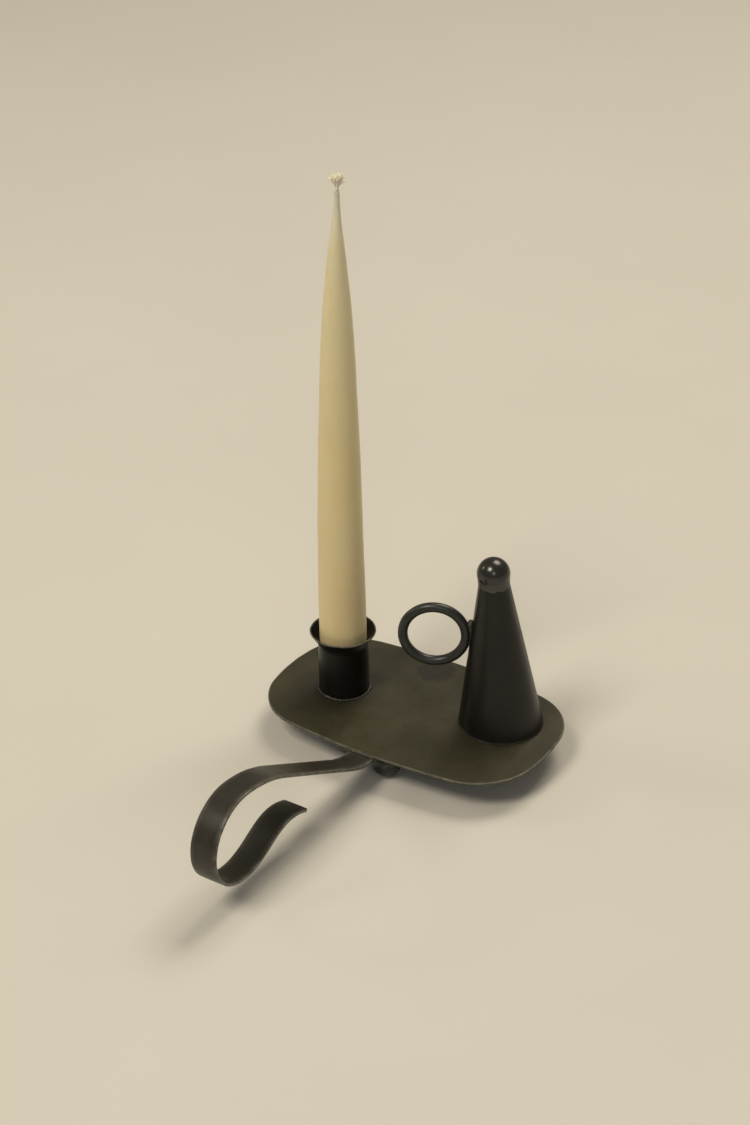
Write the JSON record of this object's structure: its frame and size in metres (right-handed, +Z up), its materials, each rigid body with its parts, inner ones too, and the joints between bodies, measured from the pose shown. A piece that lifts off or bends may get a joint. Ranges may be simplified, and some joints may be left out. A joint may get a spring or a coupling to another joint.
{
  "type": "chamberstick",
  "caption": "Blackened iron chamberstick: oblong footed tray with a flared candle socket, a taper candle, a curled strap handle and a lift-off cone snuffer with a finger ring.",
  "frame": {"origin": "on the table the feet rest on, under the middle of the object's outline seen from above", "axes": "+X along the tray from the candle socket towards the snuffer, -Y from the tray towards the curl of the handle, +Z up along the candle"},
  "size_m": [0.149, 0.2156, 0.2873],
  "materials": {
    "tray_iron": "blackened sheet iron, waxed, satin, worn a little lighter along the edge",
    "dark_iron": "blackened iron, waxed, satin",
    "strap_iron": "blackened bar iron, waxed, satin",
    "cone_iron": "blackened sheet iron, waxed, satin",
    "knob_steel": "blackened bearing ball, semi-polished",
    "ring_iron": "blackened round wire, smooth",
    "candle_wax": "dipped ivory wax, smooth and slightly waxy, paler at the tip",
    "wick_cotton": "braided cotton, frayed at the end"
  },
  "bodies": {
    "holder": {"tray": "tray_iron", "candle_socket": "dark_iron", "strap_handle": "strap_iron", "foot_front": "dark_iron", "foot_left": "dark_iron", "foot_right": "dark_iron"},
    "candle": {"candle": "candle_wax", "wick": "wick_cotton"},
    "snuffer": {"snuffer_cone": "cone_iron", "snuffer_knob": "knob_steel", "snuffer_ring": "ring_iron"}
  },
  "joints": [
    {"name": "candle_lift", "type": "slide", "parent": "holder", "child": "candle", "axis": [0, 0, 1], "range_m": [0, 0.055]},
    {"name": "snuffer_lift", "type": "slide", "parent": "holder", "child": "snuffer", "axis": [0, 0, 1], "range_m": [0, 0.28]}
  ]
}
